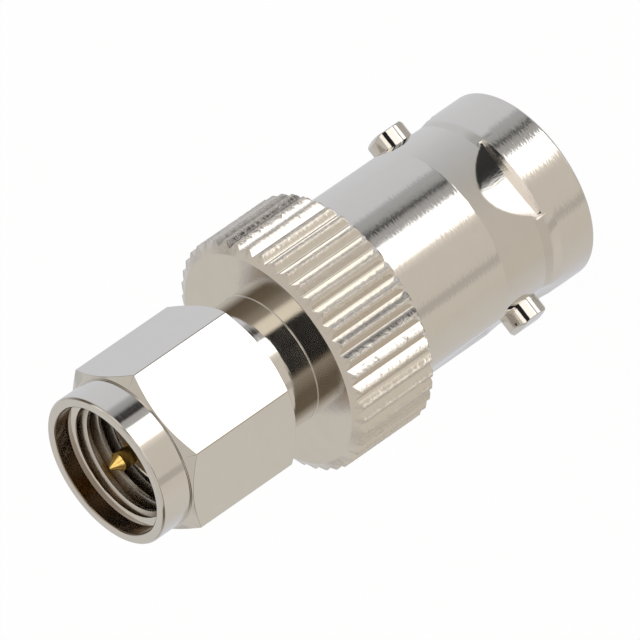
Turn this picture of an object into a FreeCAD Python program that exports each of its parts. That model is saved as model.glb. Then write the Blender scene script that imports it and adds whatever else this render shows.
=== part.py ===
# Coaxial adapter: bayonet jack at the lower end, screw plug with a hexagonal coupling nut at the upper end.
# The axis is +Z and the origin is the centre of the jack's mouth, the flat ring on which the adapter stands.
# Lengths are millimetres and angles are degrees.

import FreeCAD, Part
import os
import Sketcher

Z_AXIS = FreeCAD.Vector(0, 0, 1)
FULL_TURN = 360

# Driving sizes: name, value and what the value measures
SIZES = (
    ("barrel_diameter", 9.66, "outside of the jack's barrel"),
    ("barrel_length", 11.34, "mouth to the rear of the grip flange"),
    ("mouth_bevel", 0.12, "edge break outside the mouth"),
    ("mouth_lead_in", 0.20, "edge break inside the mouth"),
    ("front_ring_width", 2.60, "full-diameter ring at the mouth"),
    ("relief_length", 2.96, "milled stretch behind the front ring"),
    ("relief_depth", 0.11, "depth of the milled stretch at the ring"),
    ("scoop_depth", 0.40, "depth of the side scoop at the ring"),
    ("scoop_length", 1.95, "run-out of the side scoop"),
    ("scoop_radius", 9.40, "crown of the scoop's floor"),
    ("lug_setback", 4.11, "mouth to the axis of the bayonet lugs"),
    ("lug_diameter", 2.00, "bayonet lug"),
    ("lug_span", 11.05, "tip to tip across both lugs"),
    ("lug_tip_bevel", 0.24, "turned bevel at the lug's tip"),
    ("lug_tip_land", 1.20, "flat stretch of the lug's tip along the axis"),
    ("spot_depth", 0.25, "milled floor round a lug below the barrel"),
    ("spot_radius", 1.52, "milled floor round a lug"),
    ("spot_slope", 15, "run-out slope of that floor, degrees"),
    ("flange_diameter", 12.04, "over the knurl of the grip flange"),
    ("flange_length", 4.70, "grip flange"),
    ("flange_bevel_height", 0.57, "radial height of the flange's front bevel"),
    ("flange_bevel_length", 0.35, "axial length of the flange's front bevel"),
    ("flange_rear_bevel", 0.15, "edge break at the flange's rear"),
    ("knurl_count", 45, "grooves round the flange"),
    ("knurl_depth", 0.33, "depth of a groove"),
    ("knurl_land", 0.18, "width of the crest between two grooves"),
    ("knurl_angle", 6.3, "turn of the first groove from the lugs, degrees"),
    ("jack_bore_diameter", 8.12, "bore that takes the mating plug"),
    ("jack_bore_depth", 8.80, "depth of that bore"),
    ("spigot_diameter", 6.00, "plug body where it is pressed into the jack"),
    ("spigot_length", 2.60, "engagement of the spigot"),
    ("seat_bevel", 0.08, "edge break round the spigot's hole"),
    ("post_diameter", 4.72, "jack insulator"),
    ("post_setback", 0.60, "mouth to the insulator's face"),
    ("post_bevel", 0.15, "edge break of the insulator's face"),
    ("post_web", 1.04, "insulator behind the socket contact"),
    ("contact_diameter", 2.10, "socket contact"),
    ("contact_setback", 0.25, "insulator's face to the contact's end"),
    ("contact_hole_diameter", 1.37, "hole for the mating pin"),
    ("contact_hole_depth", 5.50, "depth of that hole"),
    ("contact_lead_in", 0.15, "edge break of that hole"),
    ("contact_slot_width", 0.25, "saw cut that makes the contact's two fingers"),
    ("contact_slot_length", 4.20, "length of the saw cut"),
    ("contact_swell", 0.08, "room round the fingers for their spring"),
    ("contact_swell_length", 4.60, "length of that room"),
    ("tail_diameter", 0.80, "pin's tail in the socket contact"),
    ("tail_length", 2.00, "engagement of the tail"),
    ("stem_diameter", 1.27, "pin inside its insulator"),
    ("pin_diameter", 0.914, "free end of the pin"),
    ("pin_setback", 0.32, "nut's mouth to the pin's tip"),
    ("pin_taper_length", 0.55, "cone at the pin's tip"),
    ("pin_tip_diameter", 0.12, "flat at the pin's tip"),
    ("neck_diameter", 6.56, "bright neck between the nut and the flange"),
    ("neck_length", 1.92, "neck"),
    ("neck_bevel", 0.10, "edge break of the neck"),
    ("spindle_diameter", 5.40, "bearing of the coupling nut"),
    ("spindle_length", 3.24, "bearing of the coupling nut"),
    ("spindle_groove_depth", 0.36, "ring groove in the spindle"),
    ("sleeve_diameter", 4.59, "outer contact sleeve of the plug"),
    ("sleeve_bore_diameter", 4.14, "bore of the sleeve"),
    ("sleeve_setback", 2.60, "nut's mouth to the sleeve's end"),
    ("sleeve_bevel", 0.06, "edge break of the sleeve's end"),
    ("plug_face_depth", 1.60, "sleeve's end to the plug insulator"),
    ("clip_thickness", 0.40, "retaining ring"),
    ("clip_width", 0.65, "radial width of the retaining ring"),
    ("clip_opening", 35, "gap in the retaining ring, degrees"),
    ("clip_height", 1.10, "nut's base to the retaining ring"),
    ("clip_float", 0.30, "axial play of the nut on the plug body"),
    ("side_clearance", 0.02, "retaining ring to each side of a groove"),
    ("groove_clearance", 0.06, "retaining ring to the floor of a groove"),
    ("nut_length", 8.10, "coupling nut"),
    ("nut_gap", 0.10, "neck to the nut's base"),
    ("nut_clearance", 0.06, "radial play of the nut on the spindle"),
    ("hex_width", 7.94, "across the flats of the coupling nut"),
    ("hex_slope", 30, "bevel of the hexagon's corners, degrees"),
    ("hex_angle", 2.0, "turn of a corner from the lugs, degrees"),
    ("collar_diameter", 7.65, "round collar at the nut's mouth"),
    ("collar_length", 1.69, "round collar at the nut's mouth"),
    ("collar_bevel", 0.10, "edge break outside the nut's mouth"),
    ("entry_diameter", 6.60, "plain entry of the nut"),
    ("entry_depth", 0.84, "plain entry of the nut"),
    ("entry_bevel", 0.10, "edge break inside the nut's mouth"),
    ("thread_diameter", 6.40, "root of the nut's internal thread"),
    ("thread_depth", 4.98, "nut's mouth to the end of the thread"),
)

doc = FreeCAD.newDocument("coaxial_adapter")


def make_sheet():
    """Fill the spreadsheet that holds every driving size."""
    cells = doc.addObject("Spreadsheet::Sheet", "Sizes")
    for row, (alias, size, meaning) in enumerate(SIZES, start=1):
        cells.set(f"A{row}", alias)
        cells.set(f"B{row}", str(size))
        cells.set(f"C{row}", meaning)
        cells.setAlias(f"B{row}", alias)
    doc.recompute()
    return cells


sheet = make_sheet()


# Levels along the axis, as expressions on the sheet
FLANGE_FACE = "(Sizes.barrel_length + Sizes.flange_length)"
SPIGOT_FLOOR = f"({FLANGE_FACE} - Sizes.spigot_length)"
NECK_TOP = f"({FLANGE_FACE} + Sizes.neck_length)"
NUT_BASE = f"({NECK_TOP} + Sizes.nut_gap)"
NUT_MOUTH = f"({NUT_BASE} + Sizes.nut_length)"
SLEEVE_END = f"({NUT_MOUTH} - Sizes.sleeve_setback)"
SLEEVE_ROOT = f"({NECK_TOP} + Sizes.spindle_length)"
CONTACT_END = "(Sizes.post_setback + Sizes.contact_setback)"
CONTACT_REAR = f"({SPIGOT_FLOOR} - Sizes.post_web)"
PLUG_FACE = f"({SLEEVE_END} - Sizes.plug_face_depth)"
PIN_TIP = f"({NUT_MOUTH} - Sizes.pin_setback)"
CLIP_BASE = f"({NUT_BASE} + Sizes.clip_height)"

# Radii of the retaining ring and of the grooves it lies in, as expressions on the sheet
SPINDLE_GROOVE = "(Sizes.spindle_diameter / 2 - Sizes.spindle_groove_depth)"
CLIP_INNER = f"({SPINDLE_GROOVE} + Sizes.groove_clearance)"
CLIP_OUTER = f"({CLIP_INNER} + Sizes.clip_width)"
NUT_GROOVE = f"({CLIP_OUTER} + Sizes.groove_clearance)"


def radius(alias):
    """Half of a diameter in the sheet, as an expression."""
    return f"Sizes.{alias} / 2"


def number(expression):
    """Value of an expression on the sheet."""
    result = sheet.evalExpression(expression)
    return float(getattr(result, "Value", result))


def new_body(name):
    """Empty body whose label names the sub-part's file."""
    body = doc.addObject("PartDesign::Body", name)
    body.Label = name
    return body


def origin_plane(body, role):
    """One of the body's own origin planes."""
    return next(item for item in body.Origin.OriginFeatures if item.Role == role)


def outline(body, role, name, corners, lift="0"):
    """Closed sketch through corners, each a pair of expressions, on a plane of the body."""
    sketch = body.newObject("Sketcher::SketchObject", name)
    sketch.AttachmentSupport = (origin_plane(body, role), [""])
    sketch.MapMode = "FlatFace"
    if lift != "0":
        sketch.setExpression("AttachmentOffset.Base.z", lift)
    points = [FreeCAD.Vector(number(across), number(along), 0) for across, along in corners]
    count = len(points)
    for index in range(count):
        sketch.addGeometry(Part.LineSegment(points[index], points[(index + 1) % count]), False)
    for index in range(count):
        sketch.addConstraint(Sketcher.Constraint("Coincident", index, 2, (index + 1) % count, 1))
    for index, (across, along) in enumerate(corners):
        pin_point(sketch, index, "DistanceX", across, -2)
        pin_point(sketch, index, "DistanceY", along, -1)
    return sketch


def pin_point(sketch, index, kind, expression, axis):
    """Hold the start of a sketch line at a distance that follows the sheet, or on a sketch axis."""
    if expression == "0":
        sketch.addConstraint(Sketcher.Constraint("PointOnObject", index, 1, axis))
        return
    place = sketch.addConstraint(Sketcher.Constraint(kind, -1, 1, index, 1, number(expression)))
    sketch.setExpression(f"Constraints[{place}]", expression)


def revolve(body, kind, name, sketch, axis="V_Axis"):
    """Revolution or Groove of a sketch about one of its axes."""
    feature = body.newObject(kind, name)
    feature.Profile = sketch
    feature.ReferenceAxis = (sketch, [axis])
    feature.Angle = FULL_TURN
    return feature


def turn(body, name, corners):
    """Solid turned about the body's Z axis from an outline of radii and heights."""
    return revolve(body, "PartDesign::Revolution", name, outline(body, "XZ_Plane", f"{name}_outline", corners))


def bore(body, name, corners):
    """Material removed by turning an outline of radii and heights about the body's Z axis."""
    return revolve(body, "PartDesign::Groove", name, outline(body, "XZ_Plane", f"{name}_outline", corners))


def repeat(body, feature, name, count):
    """Polar pattern of a feature about the body's Z axis."""
    doc.recompute()
    pattern = body.newObject("PartDesign::PolarPattern", name)
    pattern.Originals = [feature]
    pattern.Axis = (origin_plane(body, "Z_Axis"), [""])
    pattern.Angle = FULL_TURN
    pattern.setExpression("Occurrences", count)
    body.Tip = pattern
    return pattern


def place(body, height, angle="0"):
    """Set a body at a height on the axis, turned about it."""
    body.Placement = FreeCAD.Placement(FreeCAD.Vector(), FreeCAD.Rotation(Z_AXIS, number(angle)))
    if height != "0":
        body.setExpression("Placement.Base.z", height)
    if angle != "0":
        body.setExpression("Placement.Rotation.Angle", f"{angle} * 1 deg")


def add_axis_line(sketch, start, end):
    """Construction line of a sketch, pinned at both ends, as an axis of revolution."""
    points = [FreeCAD.Vector(number(across), number(along), 0) for across, along in (start, end)]
    line = sketch.addGeometry(Part.LineSegment(*points), True)
    for vertex, (across, along) in ((1, start), (2, end)):
        for kind, expression in (("DistanceX", across), ("DistanceY", along)):
            held = sketch.addConstraint(Sketcher.Constraint(kind, -1, 1, line, vertex, number(expression)))
            sketch.setExpression(f"Constraints[{held}]", expression)


def make_jack_outside(body):
    """Turned outside of the jack body: barrel, milled stretch and grip flange, without its front ring."""
    barrel = radius("barrel_diameter")
    flange = radius("flange_diameter")
    relief_floor = f"({barrel} - Sizes.relief_depth)"
    inside_ring = "(Sizes.front_ring_width / 2)"
    corners = (
        ("0", inside_ring),
        (relief_floor, inside_ring),
        (relief_floor, "Sizes.front_ring_width"),
        (barrel, "Sizes.front_ring_width + Sizes.relief_length"),
        (barrel, "Sizes.barrel_length"),
        (f"{flange} - Sizes.flange_rear_bevel", "Sizes.barrel_length"),
        (flange, "Sizes.barrel_length + Sizes.flange_rear_bevel"),
        (flange, f"{FLANGE_FACE} - Sizes.flange_bevel_length"),
        (f"{flange} - Sizes.flange_bevel_height", FLANGE_FACE),
        ("0", FLANGE_FACE),
    )
    turn(body, "turned_outside", corners)


def make_knurl(body):
    """V grooves cut along the grip flange."""
    root = f"({radius('flange_diameter')} - Sizes.knurl_depth)"
    half_pitch = "(pi * Sizes.flange_diameter / Sizes.knurl_count - Sizes.knurl_land) / 2"
    reach = "2 * Sizes.knurl_depth"
    half_width = f"({half_pitch}) * 2"
    corners = (
        (root, "0"),
        (f"{root} + {reach}", f"-({half_width})"),
        (f"{root} + {reach}", half_width),
    )
    sketch = outline(body, "XY_Plane", "knurl_outline", corners, lift="Sizes.barrel_length")
    sketch.AttachmentOffset = FreeCAD.Placement(
        FreeCAD.Vector(0, 0, number("Sizes.barrel_length")), FreeCAD.Rotation(Z_AXIS, number("Sizes.knurl_angle"))
    )
    sketch.setExpression("AttachmentOffset.Rotation.Angle", "Sizes.knurl_angle * 1 deg")
    groove = body.newObject("PartDesign::Pocket", "knurl_groove")
    groove.Profile = sketch
    groove.setExpression("Length", "Sizes.flange_length")
    groove.Reversed = True
    repeat(body, groove, "knurl", "Sizes.knurl_count")


def make_scoops(body):
    """Shallow crowned scoops on the two sides between the lugs, deepest against the front ring."""
    barrel = radius("barrel_diameter")
    deep = f"({barrel} - Sizes.scoop_depth)"
    rise = "(Sizes.scoop_depth - Sizes.relief_depth / 2)"
    slope = f"({rise} / Sizes.scoop_length)"
    low = "Sizes.front_ring_width / 2"
    high = "(Sizes.front_ring_width + Sizes.relief_length)"
    floor_low = f"({deep} - {slope} * Sizes.front_ring_width / 2)"
    floor_high = f"({deep} + {slope} * Sizes.relief_length)"
    outside = f"({barrel} + Sizes.scoop_depth)"
    corners = ((floor_low, low), (outside, low), (outside, high), (floor_high, high))
    sketch = outline(body, "YZ_Plane", "scoop_outline", corners)
    axis_low = (f"{floor_low} - Sizes.scoop_radius", low)
    axis_high = (f"{floor_high} - Sizes.scoop_radius", high)
    add_axis_line(sketch, axis_low, axis_high)
    scoop = revolve(body, "PartDesign::Groove", "scoop", sketch, "Axis0")
    repeat(body, scoop, "scoops", "2")


def make_front_ring(body):
    """Front ring at the mouth, which stands above the milled stretch with a sharp rear edge."""
    barrel = radius("barrel_diameter")
    inside = radius("jack_bore_diameter")
    corners = (
        (inside, "0"),
        (f"{barrel} - Sizes.mouth_bevel", "0"),
        (barrel, "Sizes.mouth_bevel"),
        (barrel, "Sizes.front_ring_width"),
        (inside, "Sizes.front_ring_width"),
    )
    turn(body, "front_ring", corners)


def make_lugs(body):
    """Two bayonet lugs, their turned tips and the floors milled round them."""
    sketch = body.newObject("Sketcher::SketchObject", "lug_outline")
    sketch.AttachmentSupport = (origin_plane(body, "YZ_Plane"), [""])
    sketch.MapMode = "FlatFace"
    centre = FreeCAD.Vector(0, number("Sizes.lug_setback"), 0)
    sketch.addGeometry(Part.Circle(centre, FreeCAD.Vector(0, 0, 1), number(radius("lug_diameter"))), False)
    sketch.addConstraint(Sketcher.Constraint("PointOnObject", 0, 3, -2))
    height = sketch.addConstraint(Sketcher.Constraint("DistanceY", -1, 1, 0, 3, centre.y))
    sketch.setExpression(f"Constraints[{height}]", "Sizes.lug_setback")
    size = sketch.addConstraint(Sketcher.Constraint("Radius", 0, number(radius("lug_diameter"))))
    sketch.setExpression(f"Constraints[{size}]", radius("lug_diameter"))
    lugs = body.newObject("PartDesign::Pad", "lugs")
    lugs.Profile = sketch
    lugs.SideType = "Symmetric"
    lugs.setExpression("Length", "Sizes.lug_span + 2 * Sizes.lug_tip_bevel")
    tip = radius("lug_span")
    outside = f"({tip} + 2 * Sizes.lug_tip_bevel)"
    bevel_foot = f"({tip} - Sizes.lug_tip_bevel)"
    near = "(Sizes.lug_setback - Sizes.lug_diameter / 2)"
    far = "(Sizes.lug_setback + Sizes.lug_diameter / 2)"
    corners = (
        (bevel_foot, near),
        (tip, "Sizes.lug_setback - Sizes.lug_tip_land / 2"),
        (tip, "Sizes.lug_setback + Sizes.lug_tip_land / 2"),
        (bevel_foot, far),
        (outside, far),
        (outside, near),
    )
    bore(body, "lug_tips", corners)


def make_spot_faces(body):
    """Flat floor milled round each lug, running out into the barrel."""
    barrel = radius("barrel_diameter")
    floor = f"({barrel} - Sizes.spot_depth)"
    outside = f"({radius('lug_span')} + Sizes.spot_depth)"
    run_out = "(1.2 * Sizes.spot_depth)"
    inner = f"Sizes.lug_setback + {radius('lug_diameter')}"
    rim = f"(Sizes.lug_setback + Sizes.spot_radius + {run_out} / tan(Sizes.spot_slope * 1 deg))"
    corners = (
        (floor, inner),
        (outside, inner),
        (outside, rim),
        (f"{floor} + {run_out}", rim),
        (floor, "Sizes.lug_setback + Sizes.spot_radius"),
    )
    sketch = outline(body, "XZ_Plane", "spot_face_outline", corners)
    add_axis_line(sketch, (floor, "Sizes.lug_setback"), (outside, "Sizes.lug_setback"))
    spot_face = revolve(body, "PartDesign::Groove", "spot_face", sketch, "Axis0")
    repeat(body, spot_face, "spot_faces", "2")


def make_jack_bores(body):
    """Stepped bore of the jack body: mating bore, insulator hole and spigot hole."""
    wide = radius("jack_bore_diameter")
    hole = radius("post_diameter")
    seat = radius("spigot_diameter")
    corners = (
        ("0", "0"),
        (f"{wide} + Sizes.mouth_lead_in", "0"),
        (wide, "Sizes.mouth_lead_in"),
        (wide, "Sizes.jack_bore_depth"),
        (hole, "Sizes.jack_bore_depth"),
        (hole, SPIGOT_FLOOR),
        (seat, SPIGOT_FLOOR),
        (seat, f"{FLANGE_FACE} - Sizes.seat_bevel"),
        (f"{seat} + Sizes.seat_bevel", FLANGE_FACE),
        ("0", FLANGE_FACE),
    )
    bore(body, "stepped_bore", corners)


def make_jack_body():
    """Jack body: one turned and milled brass piece."""
    body = new_body("jack_body")
    make_jack_outside(body)
    make_scoops(body)
    make_front_ring(body)
    make_lugs(body)
    make_spot_faces(body)
    make_knurl(body)
    make_jack_bores(body)
    place(body, "0")
    return body


def make_plug_body():
    """Plug body: spigot pressed into the jack, neck, spindle with its ring groove, and contact sleeve."""
    body = new_body("plug_body")
    hole = radius("sleeve_bore_diameter")
    seat = radius("spigot_diameter")
    neck = radius("neck_diameter")
    spindle = radius("spindle_diameter")
    sleeve = radius("sleeve_diameter")
    groove_base = f"({CLIP_BASE} - Sizes.side_clearance)"
    groove_top = f"({CLIP_BASE} + Sizes.clip_thickness + Sizes.clip_float + Sizes.side_clearance)"
    corners = (
        (hole, SPIGOT_FLOOR),
        (seat, SPIGOT_FLOOR),
        (seat, FLANGE_FACE),
        (neck, FLANGE_FACE),
        (neck, f"{NECK_TOP} - Sizes.neck_bevel"),
        (f"{neck} - Sizes.neck_bevel", NECK_TOP),
        (spindle, NECK_TOP),
        (spindle, groove_base),
        (SPINDLE_GROOVE, groove_base),
        (SPINDLE_GROOVE, groove_top),
        (spindle, groove_top),
        (spindle, f"{SLEEVE_ROOT} - Sizes.neck_bevel"),
        (f"{spindle} - Sizes.neck_bevel", SLEEVE_ROOT),
        (sleeve, SLEEVE_ROOT),
        (sleeve, f"{SLEEVE_END} - Sizes.sleeve_bevel"),
        (f"{sleeve} - Sizes.sleeve_bevel", SLEEVE_END),
        (hole, SLEEVE_END),
    )
    turn(body, "turned_plug", corners)
    place(body, "0")
    return body


def make_coupling_nut():
    """Coupling nut: turned from hexagonal bar, with its entry, thread bore and ring groove."""
    body = new_body("coupling_nut")
    corner = "(Sizes.hex_width / 2 / cos(30 deg))"
    collar = radius("collar_diameter")
    entry = radius("entry_diameter")
    thread = radius("thread_diameter")
    bearing = f"({radius('spindle_diameter')} + Sizes.nut_clearance)"
    slope = "tan(Sizes.hex_slope * 1 deg)"
    hex_top = "(Sizes.nut_length - Sizes.collar_length)"
    face = "(Sizes.hex_width / 2 - Sizes.collar_bevel / 2)"
    corners = (
        (bearing, "0"),
        (face, "0"),
        (corner, f"({corner} - {face}) * {slope}"),
        (corner, f"{hex_top} - ({corner} - {face}) * {slope}"),
        (face, hex_top),
        (collar, hex_top),
        (collar, "Sizes.nut_length - Sizes.collar_bevel"),
        (f"{collar} - Sizes.collar_bevel", "Sizes.nut_length"),
        (f"{entry} + Sizes.entry_bevel", "Sizes.nut_length"),
        (entry, "Sizes.nut_length - Sizes.entry_bevel"),
        (entry, "Sizes.nut_length - Sizes.entry_depth"),
        (thread, "Sizes.nut_length - Sizes.entry_depth"),
        (thread, "Sizes.nut_length - Sizes.thread_depth"),
        (bearing, "Sizes.nut_length - Sizes.thread_depth"),
        (bearing, "Sizes.clip_height + Sizes.clip_thickness + Sizes.side_clearance"),
        (NUT_GROOVE, "Sizes.clip_height + Sizes.clip_thickness + Sizes.side_clearance"),
        (NUT_GROOVE, "Sizes.clip_height - Sizes.side_clearance"),
        (bearing, "Sizes.clip_height - Sizes.side_clearance"),
    )
    turn(body, "turned_nut", corners)
    make_flats(body, corner)
    place(body, NUT_BASE, "Sizes.hex_angle")
    return body


def make_flats(body, corner):
    """Six flats of the nut, with a corner of the hexagon on the body's X axis."""
    flat = "Sizes.hex_width / 2"
    far = f"({corner} + Sizes.hex_width / 4)"
    corners = ((f"-{far}", flat), (far, flat), (far, far), (f"-{far}", far))
    flat_cut = body.newObject("PartDesign::Pocket", "flat")
    flat_cut.Profile = outline(body, "XY_Plane", "flat_outline", corners)
    flat_cut.setExpression("Length", "Sizes.nut_length")
    flat_cut.Reversed = True
    repeat(body, flat_cut, "flats", "6")


def make_retaining_ring():
    """Open retaining ring that holds the nut on the plug body and lets it turn."""
    body = new_body("retaining_ring")
    top = "Sizes.clip_thickness"
    corners = ((CLIP_INNER, "0"), (CLIP_OUTER, "0"), (CLIP_OUTER, top), (CLIP_INNER, top))
    ring = turn(body, "open_ring", corners)
    ring.setExpression("Angle", "360 - Sizes.clip_opening")
    place(body, CLIP_BASE)
    return body


def make_jack_insulator():
    """Insulator of the jack: a post with the socket contact in its bore."""
    body = new_body("jack_insulator")
    post = radius("post_diameter")
    contact = radius("contact_diameter")
    room = f"({contact} + Sizes.contact_swell)"
    room_end = "(Sizes.post_setback + Sizes.contact_swell_length)"
    stem = radius("stem_diameter")
    corners = (
        (room, "Sizes.post_setback"),
        (f"{post} - Sizes.post_bevel", "Sizes.post_setback"),
        (post, "Sizes.post_setback + Sizes.post_bevel"),
        (post, SPIGOT_FLOOR),
        (stem, SPIGOT_FLOOR),
        (stem, CONTACT_REAR),
        (contact, CONTACT_REAR),
        (contact, room_end),
        (room, room_end),
    )
    turn(body, "post", corners)
    place(body, "0")
    return body


def make_plug_insulator():
    """Insulator of the plug: a plain bush round the pin's stem."""
    body = new_body("plug_insulator")
    stem = radius("stem_diameter")
    outer = radius("sleeve_bore_diameter")
    corners = ((stem, SPIGOT_FLOOR), (outer, SPIGOT_FLOOR), (outer, PLUG_FACE), (stem, PLUG_FACE))
    turn(body, "bush", corners)
    place(body, "0")
    return body


def make_socket_contact():
    """Socket contact of the jack, with a saw cut that makes two spring fingers."""
    body = new_body("socket_contact")
    outer = radius("contact_diameter")
    hole = radius("contact_hole_diameter")
    tail = radius("tail_diameter")
    hole_floor = f"({CONTACT_END} + Sizes.contact_hole_depth)"
    tail_floor = f"({CONTACT_REAR} - Sizes.tail_length)"
    corners = (
        (f"{hole} + Sizes.contact_lead_in", CONTACT_END),
        (outer, CONTACT_END),
        (outer, CONTACT_REAR),
        (tail, CONTACT_REAR),
        (tail, tail_floor),
        ("0", tail_floor),
        ("0", hole_floor),
        (hole, hole_floor),
        (hole, f"{CONTACT_END} + Sizes.contact_lead_in"),
    )
    turn(body, "turned_contact", corners)
    half = "Sizes.contact_slot_width / 2"
    reach = "Sizes.contact_diameter"
    slot_corners = ((f"-{reach}", f"-{half}"), (reach, f"-{half}"), (reach, half), (f"-{reach}", half))
    slot = body.newObject("PartDesign::Pocket", "saw_cut")
    slot.Profile = outline(body, "XY_Plane", "saw_cut_outline", slot_corners, lift=CONTACT_END)
    slot.setExpression("Length", "Sizes.contact_slot_length")
    slot.Reversed = True
    place(body, "0")
    return body


def make_plug_pin():
    """Centre pin of the plug: tail, stem and free end with its cone."""
    body = new_body("plug_pin")
    tail = radius("tail_diameter")
    stem = radius("stem_diameter")
    shank = radius("pin_diameter")
    corners = (
        ("0", f"{CONTACT_REAR} - Sizes.tail_length"),
        (tail, f"{CONTACT_REAR} - Sizes.tail_length"),
        (tail, CONTACT_REAR),
        (stem, CONTACT_REAR),
        (stem, PLUG_FACE),
        (shank, PLUG_FACE),
        (shank, f"{PIN_TIP} - Sizes.pin_taper_length"),
        (radius("pin_tip_diameter"), PIN_TIP),
        ("0", PIN_TIP),
    )
    turn(body, "turned_pin", corners)
    place(body, "0")
    return body


def check_document():
    """Stop if any object of the document failed to compute."""
    failed = [item.Name for item in doc.Objects if "Invalid" in item.State or "Error" in item.State]
    if failed:
        raise RuntimeError(f"these objects failed to compute: {failed}")


def check_shape(body):
    """Stop if a sub-part is empty or not a valid single solid."""
    shape = body.Shape
    if shape.isNull() or not shape.isValid() or len(shape.Solids) != 1:
        raise RuntimeError(f"{body.Label} is not one valid solid")


SUB_PARTS = (
    make_jack_body,
    make_plug_body,
    make_coupling_nut,
    make_retaining_ring,
    make_jack_insulator,
    make_plug_insulator,
    make_socket_contact,
    make_plug_pin,
)


def main():
    """Build every sub-part, check it and write its file."""
    bodies = [make() for make in SUB_PARTS]
    doc.recompute()
    check_document()
    for body in bodies:
        check_shape(body)
    os.makedirs("parts", exist_ok=True)
    for body in bodies:
        body.Shape.exportStep(f"parts/{body.Label}.step")
        box = body.Shape.BoundBox
        print(f"{body.Label}: z {box.ZMin:.3f} to {box.ZMax:.3f}, volume {body.Shape.Volume:.3f}")


main()
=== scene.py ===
"""Looks of a coaxial adapter, a bayonet jack below and a screw plug above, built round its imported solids.

Lengths are millimetres and angles are degrees until a form becomes an object, which is in metres.
Heights run up the adapter's axis from the jack's mouth, on which it stands.
"""

import logging
import math
from collections.abc import Callable, Sequence
from dataclasses import dataclass, field
from enum import Enum

import bmesh
import bpy
from mathutils import Matrix, Vector, noise


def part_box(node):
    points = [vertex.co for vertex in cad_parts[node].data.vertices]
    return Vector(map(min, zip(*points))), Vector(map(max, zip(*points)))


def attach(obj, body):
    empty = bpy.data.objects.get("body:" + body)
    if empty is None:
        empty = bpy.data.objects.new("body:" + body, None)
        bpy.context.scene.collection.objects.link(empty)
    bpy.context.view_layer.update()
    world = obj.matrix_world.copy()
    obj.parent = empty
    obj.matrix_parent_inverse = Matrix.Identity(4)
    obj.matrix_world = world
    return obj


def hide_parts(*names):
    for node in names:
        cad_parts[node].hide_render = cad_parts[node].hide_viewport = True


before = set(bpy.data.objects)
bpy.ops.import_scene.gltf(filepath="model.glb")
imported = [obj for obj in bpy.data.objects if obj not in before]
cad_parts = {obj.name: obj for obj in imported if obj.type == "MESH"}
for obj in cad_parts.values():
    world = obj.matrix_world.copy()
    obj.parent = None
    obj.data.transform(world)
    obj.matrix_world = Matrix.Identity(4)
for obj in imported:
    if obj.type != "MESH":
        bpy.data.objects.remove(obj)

LOG = logging.getLogger("coaxial_adapter")
MM = 0.001
FULL_TURN = 360.0
SECTORS = 12
SIDE_ANGLE = 60.0
MERGE_REACH = 2e-5
TOUCH = 1e-3

Corner = tuple[float, float, float]


class Carrier(Enum):
    """Bodies of the frame that the new pieces ride on."""

    ADAPTER = "adapter"
    NUT = "nut"


class Slot(Enum):
    """Material slots of the record, one named for each new piece."""

    JACK_NICKEL = "jack_nickel"
    PLUG_NICKEL = "plug_nickel"
    NUT_NICKEL = "nut_nickel"
    INSULATOR = "white_insulator"
    CONTACT_GOLD = "contact_gold"


def lowest(node: str) -> float:
    """Height of a node's lower end in millimetres."""
    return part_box(node)[0][2] / MM


def highest(node: str) -> float:
    """Height of a node's upper end in millimetres."""
    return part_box(node)[1][2] / MM


@dataclass(frozen=True)
class Levels:
    """Heights that the pieces share, read from the frame's solids."""

    flange_face: float = highest("jack_body")
    spigot_floor: float = lowest("plug_body")
    sleeve_end: float = highest("plug_body")
    nut_base: float = lowest("coupling_nut")
    nut_mouth: float = highest("coupling_nut")
    post_face: float = lowest("jack_insulator")
    bush_face: float = highest("plug_insulator")
    contact_rear: float = highest("socket_contact")
    pin_tail: float = lowest("plug_pin")
    pin_tip: float = highest("plug_pin")


# Shader arithmetic


class Signal:
    """Socket of a node tree whose arithmetic adds Math nodes."""

    def __init__(self, book: "NodeBook", socket: bpy.types.NodeSocket) -> None:
        """Wrap a socket.

        Args:
            book: node tree that the socket belongs to.
            socket: output whose value the signal stands for.
        """
        self.book = book
        self.socket = socket

    def _math(self, operation: str, *terms: "Signal | float") -> "Signal":
        """Math node of one operation on the given terms."""
        return self.book.add("ShaderNodeMath", {"operation": operation}, dict(enumerate(terms)))

    def __add__(self, other: "Signal | float") -> "Signal":
        """Sum of two signals."""
        return self._math("ADD", self, other)

    __radd__ = __add__

    def __sub__(self, other: "Signal | float") -> "Signal":
        """Difference of two signals."""
        return self._math("SUBTRACT", self, other)

    def __rsub__(self, other: "Signal | float") -> "Signal":
        """Difference with the signal subtracted."""
        return self._math("SUBTRACT", other, self)

    def __mul__(self, other: "Signal | float") -> "Signal":
        """Product of two signals."""
        return self._math("MULTIPLY", self, other)

    __rmul__ = __mul__

    def __truediv__(self, other: "Signal | float") -> "Signal":
        """Quotient of two signals."""
        return self._math("DIVIDE", self, other)

    def angle_with(self, other: "Signal") -> "Signal":
        """Arc tangent of this signal over another, in radians."""
        return self._math("ARCTAN2", self, other)


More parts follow.
